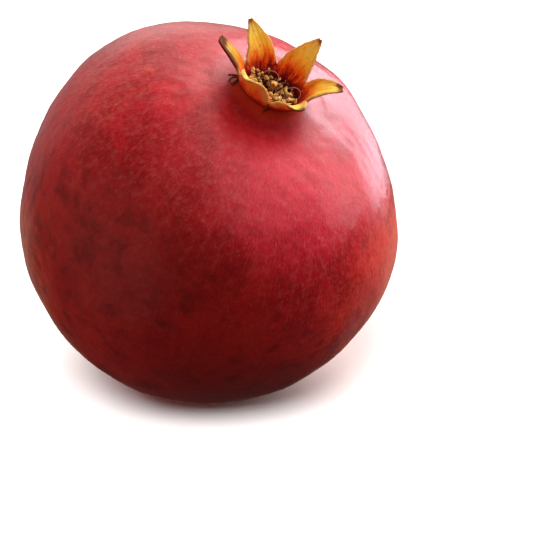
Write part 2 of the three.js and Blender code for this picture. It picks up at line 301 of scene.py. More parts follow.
# One rib stands out near the crown as a blunt ridge: its angle from the crown, angle round and height,
# then its spread along and across.
RIDGE_MIDDLE, RIDGE_AROUND, RIDGE_HEIGHT = radians(26), radians(33), 0.0005
RIDGE_LENGTH, RIDGE_WIDTH = radians(15), radians(11)
LIE_TILT, LIE_TOWARDS = radians(33), radians(-52)
CROWN_TILT, CROWN_TOWARDS = radians(7), radians(141)
NECK_FOOT, NECK_RADIUS, NECK_FLARE, NECK_TOP = radians(19), 0.0095, 0.0008, 0.0022
CROWN_SOCKET_RADIUS, CROWN_SOCKET_DEPTH = 0.0087, 0.0042
STALK_SOCKET_RADIUS, STALK_SOCKET_DEPTH = 0.0035, 0.0016
SAG = 0.0003  # how softly the skin rounds into its flat on the table
# Fine unevenness of the skin: height, length and seed.
UNEVENNESS = [(0.00012, 0.014, 3), (0.00004, 0.004, 4)]
RIND_COLUMNS, BODY_ROWS, NECK_ROWS = 420, 190, 22


def heading(from_crown, around):
    """Unit vectors at an angle from the +Z pole and an angle round it: the sines and cosines of the two."""
    from_crown, around = np.broadcast_arrays(from_crown, around)
    return np.stack([np.sin(from_crown) * np.cos(around), np.sin(from_crown) * np.sin(around),
                     np.cos(from_crown)], axis=-1)


def waves(points, length, seed, count=24):
    """Smooth unevenness between about -1 and 1: the sum of plane waves of one length in random directions,
    times the root of 2 / count, over 1.6."""
    random = np.random.default_rng(seed)
    directions = random.normal(size=(count, 3))
    directions *= 2 * pi / length / np.linalg.norm(directions, axis=1, keepdims=True)
    phases = random.uniform(0, 2 * pi, count)
    return np.sin(points @ directions.T + phases).sum(axis=-1) * (2 / count) ** 0.5 / 1.6


def skin_distance(from_crown, around):
    """Distance of the skin from the centre: a radius that grows a little towards the poles, less a bell
    for each dimple, with a cosine wave of ribs round the waist, a bell of its own height and spread
    for every swelling, and for the ridge a bell along it times a bell across it."""
    here = heading(from_crown, around)
    away = SKIN_RADIUS + POLE_GAIN * here[..., 2] ** 2
    away -= CROWN_DIMPLE * np.exp(-(from_crown / CROWN_DIMPLE_SPREAD) ** 2)
    away -= STALK_DIMPLE * np.exp(-((pi - from_crown) / STALK_DIMPLE_SPREAD) ** 2)
    away += RIB_HEIGHT * np.sin(from_crown) ** 2 * np.cos(RIBS * (around - RIB_TURN))
    for middle, turn, height, spread in SWELLS:
        angle = np.arccos(np.clip(here @ heading(middle, turn), -1, 1))
        away += height * np.exp(-(angle / spread) ** 2)
    off_ridge = np.sin((around - RIDGE_AROUND) / 2) * 2 / RIDGE_WIDTH
    away += RIDGE_HEIGHT * np.exp(-((from_crown - RIDGE_MIDDLE) / RIDGE_LENGTH) ** 2 - off_ridge ** 2)
    return away


def skin_point(from_crown, around):
    """The skin's point at two angles: its heading times its distance."""
    return heading(from_crown, around) * skin_distance(from_crown, around)[..., None]


def turned(points, axis, angle):
    """Points turned about an axis through the origin, each by its own angle if need be: the point times
    the cosine, its cross product with the axis times the sine, and its part along the axis times the
    rest of the cosine up to one, all added."""
    angle = np.asarray(angle)[..., None]
    axis = np.asarray(axis)
    return (points * np.cos(angle) + np.cross(axis, points) * np.sin(angle)
            + axis * (points @ axis)[..., None] * (1 - np.cos(angle)))


CROWN_SEAT = np.array([0, 0, float(skin_distance(np.array(0.0), np.array(0.0)))])


def from_crown_frame(points, share=1.0):
    """Points of the crown's own upright frame, tilted askew by a share of its tilt and set on its seat."""
    axis = heading(pi / 2, CROWN_TOWARDS + pi / 2)
    return turned(points, axis, CROWN_TILT * share) + CROWN_SEAT


def laid_on_table(points):
    """Points of the fruit's frame in the row's frame: leaned, turned and lifted."""
    leaned = turned(points, (0.0, 1.0, 0.0), LIE_TILT)
    return turned(leaned, (0.0, 0.0, 1.0), LIE_TOWARDS) + np.array(FRUIT_CENTRE)


def ring(radius, height, around):
    """Points on a level circle: radius times cosine and sine, at a height."""
    radius, height, around = np.broadcast_arrays(radius, height, around)
    return np.stack([radius * np.cos(around), radius * np.sin(around), height], axis=-1)


def neck_point(share, around):
    """The neck's outside, from its foot (share 0) to its top (1): a quadratic curve that leaves the skin
    along the skin's slope and climbs to the crown, turned with the crown by the same share."""
    start = skin_point(NECK_FOOT, around)
    ahead = skin_point(NECK_FOOT - 0.001, around)
    reach, reach_ahead = (np.hypot(p[..., 0], p[..., 1])[..., None] for p in (start, ahead))
    handle = start + (ahead - start) * (reach - NECK_RADIUS - NECK_FLARE) / (reach - reach_ahead)
    end = ring(NECK_RADIUS, CROWN_SEAT[2] + NECK_TOP, around)
    s = np.asarray(share)[..., None]
    curve = (1 - s) ** 2 * start + 2 * s * (1 - s) * handle + s ** 2 * end
    return from_crown_frame(curve - CROWN_SEAT, share)


class Patchwork:
    """Grids of points gathered into one mesh, with the same named values for every grid, which become
    the mesh's attributes. A grid whose rows climb anticlockwise faces outwards."""

    def __init__(self):
        self.points, self.faces, self.values, self.count = [], [], {}, 0

    def add(self, grid, closed, **values):
        """Adds a grid shaped (rows, columns, 3). A closed one joins its last column to its first."""
        rows, columns = grid.shape[:2]
        index = np.arange(rows * columns).reshape(rows, columns) + self.count
        beside = np.roll(index, -1, axis=1)
        quads = np.stack([index[:-1], beside[:-1], beside[1:], index[1:]], axis=-1)
        quads = quads if closed else quads[:, :-1]
        self.points.append(grid.reshape(-1, 3))
        self.faces.extend(quads.reshape(-1, 4).tolist())
        for name, value in values.items():
            shape = (rows, columns, 3) if np.ndim(value) > 2 else (rows, columns)
            self.values.setdefault(name, []).append(np.broadcast_to(value, shape).reshape(rows * columns, -1))
        self.count += rows * columns

    def mesh(self, name, placed):
        """The mesh, with its points put where they belong by the function given."""
        mesh = bpy.data.meshes.new(name)
        mesh.from_pydata(placed(np.concatenate(self.points)), [], self.faces)
        for value_name, parts in self.values.items():
            values = np.concatenate(parts).astype(np.float32)
            kind, key = ("FLOAT", "value") if values.shape[1] == 1 else ("FLOAT_VECTOR", "vector")
            mesh.attributes.new(value_name, kind, "POINT").data.foreach_set(key, values.ravel())
        close(mesh)
        return mesh


def solid_from_rings(name, rings, placed=np.asarray, **point_values):
    """Closed mesh through rings of points, shaped (rings, points round, 3), whose first and last rings
    are single points."""
    solid = Patchwork()
    solid.add(rings, True, **point_values)
    return solid.mesh(name, placed)


def close(mesh):
    """Merges points that coincide, which closes poles and seams, and smooths the shading."""
    work = bmesh.new()
    work.from_mesh(mesh)
    bmesh.ops.remove_doubles(work, verts=work.verts, dist=1e-7)
    work.to_mesh(mesh)
    work.free()
    mesh.shade_smooth()


def place(name, mesh, finish, node, slot):
    """The finished piece: linked, dressed, riding on the fruit and standing for its CAD node."""
    piece = bpy.data.objects.new(name, mesh)
    bpy.context.scene.collection.objects.link(piece)
    mesh.materials.append(finish.material)
    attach(piece, "root")
    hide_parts(node)
    return piece


around = np.linspace(0, 2 * pi, RIND_COLUMNS, endpoint=False)[None, :]
stalk_end = float(skin_distance(np.array(pi), np.array(0.0)))
stalk_edge = asin(STALK_SOCKET_RADIUS / stalk_end)

latitudes = np.linspace(pi - stalk_edge, NECK_FOOT, BODY_ROWS)[:, None]
body = skin_point(latitudes, around)
uneven = sum(height * waves(body, length, seed) for height, length, seed in UNEVENNESS)
body += heading(latitudes, around) * uneven[..., None]
neck_shares = np.linspace(0, 1, NECK_ROWS)[1:, None]
neck = neck_point(neck_shares + 0 * around, around + 0 * neck_shares)
socket = np.concatenate([from_crown_frame(ring(radius, height, around)) for radius, height in (
    (CROWN_SOCKET_RADIUS, NECK_TOP), (CROWN_SOCKET_RADIUS, -CROWN_SOCKET_DEPTH), (0.0, -CROWN_SOCKET_DEPTH))])
stalk_socket = np.concatenate([ring(radius, -(stalk_end - STALK_SOCKET_DEPTH), around)
                               for radius in (0.0, STALK_SOCKET_RADIUS)])
rind_rings = laid_on_table(np.concatenate([stalk_socket, body, neck, socket]))
# What would dip below the table sags flat on it: height becomes half of itself plus the root of its
# square and the sag's.
height = rind_rings[..., 2]
rind_rings[..., 2] = (height + np.sqrt(height ** 2 + SAG ** 2)) / 2

# Where each point is on the fruit: cosine and sine round it, and the angle from the crown, which is only
# rough on the neck and in the sockets.
neck_angles = NECK_FOOT * (1 - 0.6 * neck_shares[:, 0])
angles = np.concatenate([[pi, pi - stalk_edge * 0.9], latitudes[:, 0], neck_angles, [0.1, 0.05, 0.0]])[:, None]
meridian = np.stack(np.broadcast_arrays(np.cos(around), np.sin(around), angles), axis=-1)
rind_mesh = solid_from_rings("rind_skin", rind_rings, meridian=meridian)

rind = Finish("pomegranate_rind")
on_skin = rind.node("TexCoord", {}, "Object")
on_meridian = rind.attribute("meridian", "Vector")
from_crown = rind.node("SeparateXYZ", {0: on_meridian}, "Z")


def on_side(direction, begins, full, from_share=0.0, to_share=1.0):
    """Share that changes between two distances from the fruit's middle along a direction."""
    return rind.remap(rind.facing(on_skin, FRUIT_CENTRE, direction), begins, full, from_share, to_share)


# A painted shade: the side of the fruit away from the lamps, down, to the front and to the left, gets darker,
# browner copies of the colours, and lit_share keeps the fine pale marks mostly off it.
shaded_side = on_side((-0.55, -0.50, -0.67), -0.008, 0.037)
lit_share = rind.remap(shaded_side, 0, 1, 1.0, 0.15)
streaked = rind.remap(from_crown, 0.22, 0.62)

# The ground is crimson on the lit side, with a painted shade that makes it darker and browner on the side away from
# the lamps, and a painted light that makes it rosy towards the front on the right.
broad = rind.noise(on_skin, 20.0, 3.0, 0.5)
lit_skin = rind.ramp(broad, [(0.35, 196, 16, 32), (0.50, 204, 24, 40), (0.66, 212, 36, 50)])
shade_painted_skin = rind.ramp(broad, [(0.35, 166, 22, 16), (0.50, 184, 26, 20), (0.66, 196, 34, 26)])
# A painted light: the skin turns brighter and rosy towards the front on the right, where the light falls on it.
painted_rosy_light = on_side((0.355, -0.83, 0.44), 0.045, 0.0515)
lit_skin = rind.blend(painted_rosy_light, lit_skin, tone(242, 42, 70))
rind.colour = rind.blend(shaded_side, lit_skin, shade_painted_skin)
# A painted shade darkens the front of the fruit, where little light reaches, with less of it under the painted rosy
# light.
painted_front_shade = on_side((-0.18, -0.97, 0.05), 0.036, 0.052, 0.0, 0.5)
painted_front_shade = rind.times(painted_front_shade, rind.remap(painted_rosy_light, 0, 1, 1.0, 0.25))
rind.lay(painted_front_shade, tone(150, 18, 14))

# Painted light and shade laid over it, in this order: a warm painted light on the lower right flank, a painted
# highlight high on the front near the crown and a painted light below it, a painted shade on the front, a warm
# painted reflection along the lower left edge, and painted shade on the top and on the underside. For each: the
# direction that it faces, how far from the fruit's middle along it the patch begins and is full, how much of it
# shows there, and its colour.
PAINTED_LIGHT_AND_SHADE = [
    ((0.88, -0.27, -0.39), 0.0380, 0.0530, 0.75, tone(242, 60, 36)),
    ((-0.04, -0.50, 0.865), 0.0503, 0.0523, 0.5, tone(244, 52, 62)),
    ((-0.03, -0.79, 0.61), 0.0500, 0.0530, 0.4, tone(246, 48, 72)),
    ((-0.03, -0.99, 0.10), 0.0500, 0.0530, 0.4, tone(110, 12, 14)),
    ((-0.93, -0.25, -0.27), 0.0480, 0.0525, 0.5, tone(220, 60, 36)),
    ((0.05, 0.05, 1.0), 0.0505, 0.0530, 0.4, tone(150, 24, 22)),
    ((0.1, -0.5, -0.86), 0.0380, 0.0520, 0.4, tone(110, 16, 14)),
]
for direction, begins, full, most, colour in PAINTED_LIGHT_AND_SHADE:
    rind.lay(on_side(direction, begins, full, 0.0, most), colour)
# A painted light brightens the flank on the right, below the highlight.
painted_flank_light = on_side((0.81, -0.52, 0.27), 0.0510, 0.0535, 0.0, 0.7)
rind.lay(painted_flank_light, tone(250, 66, 80))

# Dark patches, fewer under the painted rosy light and the painted flank light.
patches = rind.noise(on_skin, 90.0, 4.0, 0.6, 0.6)
patch_share = rind.times(rind.remap(patches, 0.44, 0.64, 0.0, 0.52), rind.remap(painted_rosy_light, 0, 1, 1.0, 0.45))
patch_share = rind.times(patch_share, rind.remap(painted_flank_light, 0.0, 0.7, 1.0, 0.3))
rind.lay(patch_share, tone(146, 8, 16))

# Pale bands and strokes from pole to pole, and a fine grime, all mostly on the lit side.
bands = rind.noise(rind.scaled(on_meridian, (30.0, 30.0, 3.5)), 1.0, 4.0, 0.6)
band_share = rind.times(rind.remap(bands, 0.50, 0.72, 0.0, 0.26), streaked)
rind.lay(rind.times(band_share, lit_share), tone(228, 92, 90))
grime = rind.noise(on_skin, 650.0, 4.0, 0.65)
rind.lay(rind.times(rind.remap(grime, 0.45, 0.68, 0.0, 0.24), lit_share), tone(232, 110, 104))
strokes = rind.noise(rind.scaled(on_meridian, (110.0, 110.0, 36.0)), 1.0, 3.0, 0.6)
stroke_share = rind.times(rind.times(rind.remap(strokes, 0.53, 0.70, 0.0, 0.26), streaked), lit_share)
rind.lay(stroke_share, tone(232, 118, 116))
dark_strokes = rind.times(rind.remap(strokes, 0.49, 0.36, 0.0, 0.34), streaked)
rind.lay(rind.times(dark_strokes, lit_share), tone(130, 10, 24))

# Brown smudges on the shaded side, russet flecks on the left shoulder, pale pores in the patches.
smudges = rind.noise(on_skin, 160.0, 3.0, 0.55)
smudge_share = rind.times(rind.remap(smudges, 0.50, 0.70, 0.0, 0.50), rind.remap(shaded_side, 0, 1, 0.15, 1.0))
rind.lay(smudge_share, tone(100, 10, 8))
russet_place = on_side((-0.484, -0.297, 0.824), 0.0508, 0.0526)
russet_flecks = rind.remap(rind.noise(on_skin, 560.0, 4.0, 0.65), 0.50, 0.66, 0.0, 0.34)
rind.lay(rind.times(russet_place, russet_flecks), tone(226, 120, 66))
pores = rind.spots(rind.scaled(on_meridian, (26.0, 26.0, 16.0)), 1.0)
pore_share = rind.times(rind.remap(pores, 0.20, 0.05, 0.0, 0.34), rind.remap(patches, 0.48, 0.54))
rind.lay(rind.times(rind.times(pore_share, lit_share), streaked), tone(228, 128, 122))

# Round the crown the skin is dull and dark. This is a painted shadow where the crown blocks the light, reaching
# further out at the front, with a ring of painted shade closer in. The neck is orange, its own colour, and that
# orange also lightens the shaded crease under the cup as a painted light.
towards_front = rind.facing(on_meridian, (0, 0, 0), (0.64, -0.77, 0))
painted_crown_shadow = rind.remap(rind.plus(from_crown, rind.times(towards_front, -0.30)), 0.20, 0.03)
rind.lay(rind.times(painted_crown_shadow, 0.4), tone(164, 30, 20))
painted_neck_shade = rind.remap(rind.plus(from_crown, rind.times(towards_front, -0.08)), 0.26, 0.16, 0.0, 0.4)
rind.lay(painted_neck_shade, tone(120, 20, 14))
neck_orange_and_painted_light = rind.remap(from_crown, 0.250, 0.170, 0.0, 0.75)
rind.lay(neck_orange_and_painted_light, tone(200, 50, 26))

# The skin is waxier, so glossier, on the right.
relief = rind.bump(strokes, 0.20, 0.0004)
pits = rind.bump(grime, 0.30, 0.0003, relief)
waxy_side = on_side((0.85, -0.2, 0.45), -0.005, 0.035, 0.32, 0.19)
waxiness = rind.plus(waxy_side, rind.remap(grime, 0.3, 0.7, -0.04, 0.04))
# The painted crown shadow also tints the reflection darker and makes it rougher there.
rind.surface(Base_Color=rind.colour, Roughness=rind.plus(waxiness, rind.remap(painted_crown_shadow, 0, 1, 0.0, 0.25)),
             Specular_IOR_Level=0.5, Specular_Tint=rind.blend(painted_crown_shadow, (1, 1, 1, 1), tone(112, 56, 52)), Normal=pits)
place("rind_skin", rind_mesh, rind, "rind", "rind")


# -------------------------------------------------------------- calyx
# The leathery cup on the neck with its six pointed sepals. It is dry and golden, maroon towards the
# inside of the cup, with brown tips and pale torn edges. The blades lean out of the rim and curl.

CUP_ROOT_RADIUS, CUP_ROOT_BOTTOM, CUP_FLANGE = 0.0084, -0.0039, 0.0025
RIM_HEIGHT, RIM_RADIUS, RIM_WALL = 0.0034, 0.0095, 0.0011
BORE_RADIUS, BORE_TOP = 0.0078, 0.0022
WAIST_RADIUS, WAIST_HEIGHT = 0.0073, -0.0004
CUP_FLOOR_RADIUS, CUP_FLOOR = 0.0067, -0.0025
# How much a blade narrows beside a notch, its thickness at its edges and tip, the reach of its midrib's
# handles as a share of its length, and how deep its edge is torn.
NOTCH, BLADE_EDGE, BLADE_TIP, REACH, TORN = 0.00035, 0.00080, 0.00055, 0.36, 0.00013
VEIN_HEIGHT, BUCKLE_HEIGHT = 0.00003, 0.00011
# Each sepal: the notches on both sides, straight length, lean of the tip, swing round, lean of the
# midrib where it leaves the rim, curl of the end beyond the lean, belly of the outline and width of the
# tip. Then the width of its pale margin, how much of its end has gone brown, how dark a strip down one
# side of it is, and how far its colour gets from red towards yellow.
SEPALS = [
    (20, 77, 0.0098, 55, 2, 20, 24, 0.8, 0.0020, 0.0004, 0.18, 0.2, 0.85),
    (77, 139, 0.0120, 33, -4, 24, 4, 0.58, 0.0007, 0.0002, 0.12, 0.0, 1.0),
    (139, 199, 0.0119, 40, 13, 24, 0, 0.62, 0.0007, 0.0002, 0.12, 0.0, 0.94),
    (199, 241, 0.0109, 51, 4, 40, 2, 0.2, 0.0030, 0.0004, 0.28, 1.0, 1.0),
    (241, 313, 0.0068, 38, -8, 14, 50, 0.7, 0.0026, 0.0013, -0.05, 0.0, 0.8),
    (313, 380, 0.0060, 54, -8, 36, 34, 0.3, 0.0036, 0.0014, 0.12, 0.0, 0.8),
]
BROWN_FADE = 0.13  # the share of a blade over which its gold turns brown
NEVER_BROWN = -5
WALL_FADE = 0.010  # the depth below the rim that counts in the colours as one blade's length
BLADE_COLUMNS, EDGE_COLUMNS, BLADE_ROWS = 32, 5, 48
UP = np.array([0.0, 0.0, 1.0])


def smooth_step(value, low, high):
    """Rises from 0 at low to 1 at high, by 3 s squared less 2 s cubed."""
    share = np.clip((value - low) / (high - low), 0, 1)
    return share * share * (3 - 2 * share)


def unit(vectors):
    """Vectors divided by their own lengths."""
    return vectors / np.linalg.norm(vectors, axis=-1, keepdims=True)


def blade(sepal, side, share):
    """Middle surface of a blade, the direction square to it and its half width, for side -1 to 1 across
    and share 0 to 1 from rim to tip. The midrib is a cubic curve. Each section is an arc, the rim's own
    at the root, of a width that tapers as (1 - share)(1 + belly * share), less the notch, and is torn
    by a product of two sines."""
    first, last, length, lean, swing, start, curl, belly, tip_width = sepal[:9]
    middle = radians((first + last) / 2)
    half_span = radians((last - first) / 2)
    outwards = heading(pi / 2, middle)
    sideways = np.cross(UP, outwards)

    def leaning(out, aside):
        """Up, leaned outwards and then sideways: cosine times the one direction, sine times the other."""
        tilted = UP * cos(radians(out)) + outwards * sin(radians(out))
        return tilted * cos(radians(aside)) + sideways * sin(radians(aside))

    root = outwards * RIM_RADIUS + UP * RIM_HEIGHT
    tip = root + leaning(lean, swing) * length
    rise = root + leaning(start, 0) * length * REACH
    bend = tip - leaning(lean + curl, swing * 1.2) * length * REACH
    s = share[..., None]
    midrib = (1 - s) ** 3 * root + 3 * s * (1 - s) ** 2 * rise + 3 * s ** 2 * (1 - s) * bend + s ** 3 * tip
    slope = (1 - s) ** 2 * (rise - root) + 2 * s * (1 - s) * (bend - rise) + s ** 2 * (tip - bend)

    lift = smooth_step(share, 0, 0.35)[..., None]
    along = unit(UP * (1 - lift) + unit(slope) * lift)
    across = unit(sideways - along * (along @ sideways)[..., None])
    face = np.cross(across, along)
    width = (RIM_RADIUS * sin(half_span) * (1 - share) * (1 + belly * share)
             - NOTCH * (1 - np.exp(-share / 0.03)) * (1 - share) + share * tip_width / 2)
    torn = TORN * smooth_step(share, 0.02, 0.2) * smooth_step(1 - share, 0, 0.3)
    width = width + torn * np.sin(share * 31 + first) * np.sin(share * 13 + side + last)
    turn = side * half_span
    point = (midrib + across * (width * np.sin(turn) / sin(half_span))[..., None]
             - face * (width * (1 - np.cos(turn)) / sin(half_span))[..., None])
    square = face * np.cos(turn)[..., None] + across * np.sin(turn)[..., None]
    return point, square, width


def wrinkles(seed, side, share, width):
    """Height of the veins and dents of a dry blade: a sine across it whose phase wavers along it, and a
    slow buckling, the product of two slanted sines. Both fade out at the rim and at the tip."""
    veins = np.sin(side * width * 5200 + 2.0 * np.sin(share * 5 + seed))
    buckle = np.sin(share * 9 + side * 2.2 + seed) * np.sin(side * 4.1 - share * 5 + 2 * seed)
    fade = smooth_step(share, 0.05, 0.3) * smooth_step(1 - share, 0, 0.15)
    return (VEIN_HEIGHT * veins + BUCKLE_HEIGHT * buckle) * fade


def blade_rings(sepal):
    """Rings round a blade, from rim to tip: across its outside, round one edge, back across its inside
    and round the other edge. The thickness bulges across as the root of 1 - side squared and thins along
    by share squared. Away from the rim the edges swell into half circles. With the rings come the
    values that the colours read."""
    first, _, length, *_, margin, browned, scorched, gilding = sepal
    shares = np.linspace(0, 1, BLADE_ROWS) ** 1.15
    columns = np.linspace(-1, 1, BLADE_COLUMNS + 1)
    ends = np.ones(EDGE_COLUMNS)
    round_edge = np.cos(np.linspace(0, pi, EDGE_COLUMNS + 2)[1:-1])
    side = np.concatenate([columns, ends, columns[::-1], -ends])
    outside = np.concatenate([np.ones(BLADE_COLUMNS + 1), round_edge, -np.ones(BLADE_COLUMNS + 1), -round_edge])
    side, share = np.broadcast_arrays(side[None, :], shares[:, None])
    point, square, width = blade(sepal, side, share)
    point = point + square * wrinkles(first, side, share, width)[..., None]
    thick = BLADE_EDGE + (RIM_WALL - BLADE_EDGE) * np.sqrt(1 - side ** 2)
    thick = thick + (BLADE_TIP - thick) * share ** 2
    thick = RIM_WALL + (thick - RIM_WALL) * smooth_step(share, 0, 0.2)
    climb = unit(np.gradient(point, axis=0))
    aside = unit(np.cross(square, climb)) * np.sign(side)[..., None]
    bulge = np.sqrt(1 - outside ** 2) * smooth_step(share, 0, 0.10) * thick / 2
    rings = point + square * (outside * thick / 2)[..., None] - aside * bulge[..., None]
    from_edge = (1 - np.abs(side)) * width
    values = {
        "inside": np.broadcast_to((1 - outside) / 2, side.shape),
        "along": share * gilding,
        "edge": np.exp(-(from_edge / margin) ** 4),
        "brown": (share - 1 + browned) / BROWN_FADE,
        "scorch": scorched * (0.25 + 0.7 * smooth_step(side, -0.1, 0.6)) * smooth_step(share, 0.05, 0.3),
        "grain": np.stack([side * width, share * length, share * 0 + first], axis=-1),
    }
    return rings, values


def cup_wall(sepal, profile, inside):
    """One sepal's sector of the cup's outer or inner wall: its profile of (radius, height) turned
    through the sector, with the values that the colours read."""
    first, last = sepal[:2]
    side = np.linspace(-1, 1, BLADE_COLUMNS + 1)
    around = np.radians((first + last) / 2 + side * (last - first) / 2)
    wall = np.stack([ring(radius, height, around) for radius, height in profile])
    depth = np.array([[height - RIM_HEIGHT] for _, height in profile]) + 0 * side
    across = side * RIM_RADIUS * radians(last - first) / 2 + 0 * depth
    values = {
        "inside": inside,
        "along": depth / WALL_FADE,
        "edge": 0.0,
        "brown": NEVER_BROWN,
        "scorch": 0.0,
        "grain": np.stack([across, depth, 0 * depth + first], axis=-1),
    }
    return wall, values


def rods(paths, radii, sides):
    """Round rods along many paths at once, each closed at both ends: (rods, rows, sides, 3). A ring's
    place is its path's point plus radius times cosine and sine along two directions square to the path."""
    tangents = unit(np.gradient(paths, axis=1))
    chord = unit(paths[:, -1] - paths[:, 0])
    helper = np.where(np.abs(chord[:, 2:]) < 0.8, UP, np.array([1.0, 0.3, 0.0]))[:, None, :]
    normals = unit(np.cross(helper, tangents))
    binormals = np.cross(tangents, normals)
    turn = np.linspace(0, 2 * pi, sides, endpoint=False)
    offsets = normals[:, :, None] * np.cos(turn)[:, None] + binormals[:, :, None] * np.sin(turn)[:, None]
    rings = paths[:, :, None] + offsets * radii[:, :, None, None]
    ends = np.repeat(paths[:, [0, -1], None], sides, axis=2)
    return np.concatenate([ends[:, :1], rings, ends[:, 1:]], axis=1)


def on_crown(points):
    """Points of the crown's own frame in the row's frame."""
    return laid_on_table(from_crown_frame(points))


# Radius and height: the cup's outside from its root up to the rim, and its inside down to its floor.
CUP_OUTSIDE = [
    (0.0, CUP_ROOT_BOTTOM), (CUP_ROOT_RADIUS, CUP_ROOT_BOTTOM), (CUP_ROOT_RADIUS, CUP_FLANGE),
    (NECK_RADIUS, CUP_FLANGE), (0.0098, 0.0029), (RIM_RADIUS + RIM_WALL / 2, RIM_HEIGHT),
]
CUP_INSIDE = [
    (RIM_RADIUS - RIM_WALL / 2, RIM_HEIGHT), (0.0084, 0.0029), (BORE_RADIUS, BORE_TOP), (0.00755, 0.0008),
    (WAIST_RADIUS, WAIST_HEIGHT), (0.0070, -0.0016), (CUP_FLOOR_RADIUS, CUP_FLOOR), (0.0, CUP_FLOOR),
]
calyx_skin = Patchwork()
for sepal in SEPALS:
    rings, values = blade_rings(sepal)
    calyx_skin.add(rings, True, **values)
    end = rings[-1:]
    cap = np.concatenate([end, np.broadcast_to(end.mean(axis=1, keepdims=True), end.shape)])
    calyx_skin.add(cap, True, **{name: np.concatenate([value[-1:]] * 2) for name, value in values.items()})
    for profile, inside in ((CUP_OUTSIDE, 0.0), (CUP_INSIDE, 1.0)):
        wall, values = cup_wall(sepal, profile, inside)
        calyx_skin.add(wall, False, **values)

# Shreds of dry skin that hang from the notches: the notch, and how far the shred strays round, out
# and up from it by its end.
SHREDS = [
    (313, -3, 0.0008, -0.0036), (313, 4, 0.0006, -0.0020), (241, -5, 0.0014, -0.0062),
    (241, 3, 0.0010, -0.0050), (238, -9, 0.0022, -0.0044), (236, -14, 0.0026, -0.0030),
    (199, 3, 0.0009, -0.0012), (139, 2, 0.0002, 0.0012), (77, -3, 0.0007, -0.0014),
]
SHRED_RADIUS = 0.00030
shred_share = np.linspace(0, 1, 9)
notch, stray, out, rise = (np.array(column)[:, None] for column in zip(*SHREDS))
shred_turn = np.radians(notch + stray * shred_share ** 1.4)
shred_paths = ring(RIM_RADIUS + out * np.sin(shred_share * 2.4) + 0.0002 * np.sin(shred_share * 9 + notch),
                   RIM_HEIGHT + 0.0002 + rise * shred_share ** 1.2, shred_turn)
for shred in rods(shred_paths, SHRED_RADIUS * (1.15 - shred_share ** 1.5) + 0 * notch, 6):
    calyx_skin.add(shred, True, inside=0.0, along=0.06, edge=0.0, brown=0.35, scorch=0.5, grain=shred)

calyx = Finish("dry_calyx")
inside_share = calyx.attribute("inside")
up_blade = calyx.attribute("along")
on_blade = calyx.attribute("grain", "Vector")
on_calyx = calyx.node("TexCoord", {}, "Object")
grain = calyx.noise(calyx.scaled(on_blade, (2600.0, 420.0, 1.7)), 1.0, 4.0, 0.6)
blotches = calyx.noise(calyx.scaled(on_blade, (520.0, 260.0, 1.3)), 1.0, 3.0, 0.55)

# The colour runs up the blade, unevenly.
streaky = calyx.plus(calyx.remap(grain, 0.3, 0.7, -0.10, 0.10, smooth=False),
                     calyx.remap(blotches, 0.3, 0.7, -0.12, 0.12, smooth=False))
height_on_blade = calyx.remap(calyx.plus(up_blade, streaky), -0.25, 1.0, smooth=False)
inner_colour = calyx.ramp(height_on_blade, [
    (0.00, 96, 16, 18), (0.16, 140, 24, 22), (0.22, 204, 62, 26), (0.31, 240, 108, 28),
    (0.50, 250, 184, 56), (0.74, 248, 210, 84), (0.92, 220, 180, 82)])
outer_colour = calyx.ramp(height_on_blade, [
    (0.00, 176, 30, 24), (0.15, 196, 42, 26), (0.27, 230, 84, 34), (0.40, 238, 120, 42),
    (0.56, 240, 146, 50), (0.80, 236, 168, 76)])
calyx.colour = calyx.blend(calyx.remap(inside_share, 0.4, 0.6), outer_colour, inner_colour)

# Over it lie the pale margin, the brown end, a darkening down one side of a blade and over the shreds, and
# freckles.
dry_edge = calyx.times(calyx.attribute("edge"), calyx.remap(up_blade, 0.03, 0.12, 0.0, 0.85))
calyx.lay(dry_edge, tone(214, 168, 96))
browning = calyx.plus(calyx.attribute("brown"), calyx.remap(blotches, 0.3, 0.7, -0.5, 0.5))
browning = calyx.plus(browning, calyx.remap(inside_share, 0.0, 0.6, 1.2, 0.0))
calyx.lay(calyx.remap(browning, 0.0, 1.0, 0.0, 0.92), tone(104, 52, 26))
calyx.lay(calyx.attribute("scorch"), tone(90, 20, 8))
freckles = calyx.noise(on_calyx, 1500.0, 2.0, 0.6)
calyx.lay(calyx.remap(freckles, 0.60, 0.70, 0.0, 0.5), tone(140, 70, 24))

# Deep inside the cup the reflection is tinted dark red, a painted shade in the hollow.
painted_hollow_shade = calyx.times(calyx.remap(height_on_blade, 0.34, 0.16), inside_share)
calyx.surface(Base_Color=calyx.colour, Roughness=calyx.remap(grain, 0.3, 0.7, 0.48, 0.66), Specular_IOR_Level=0.05,
              Specular_Tint=calyx.blend(painted_hollow_shade, (1, 1, 1, 1), tone(130, 60, 40)),
              Subsurface_Weight=0.5, Subsurface_Radius=(1.0, 0.5, 0.2), Subsurface_Scale=0.0022,
              Normal=calyx.bump(grain, 0.35, 0.00025))
place("calyx_crown", calyx_skin.mesh("calyx_crown", on_crown), calyx, "calyx", "calyx")


# ------------------------------------------------------------ stamens
# The dried stamens that fill the cup: bent maroon filaments on an uneven disc, most with a tan anther of
# two lobes. A few have lost theirs and curl over, and a fringe of bare ones lines the cup's wall.

STAMEN_COUNT, WALL_FILAMENTS = 120, 84
FILAMENT_ROWS, WALL_ROWS = 8, 9
DISC_BORE, DISC_RADIUS, DISC_BOTTOM, DISC_TOP = 0.0014, 0.0065, -0.0022, -0.0013
FILAMENT_RADIUS = 0.00015
ANTHER_LENGTH, ANTHER_WIDTH = 0.00125, 0.00052
ROOTS_INNER, ROOTS_DEPTH, TIPS_OUTER = 0.0024, 0.0037, 0.0071
HEAP_TOWARDS = radians(276)  # where in the cup the anthers lie thickest
GOLDEN_TURN = pi * (3 - 5 ** 0.5)

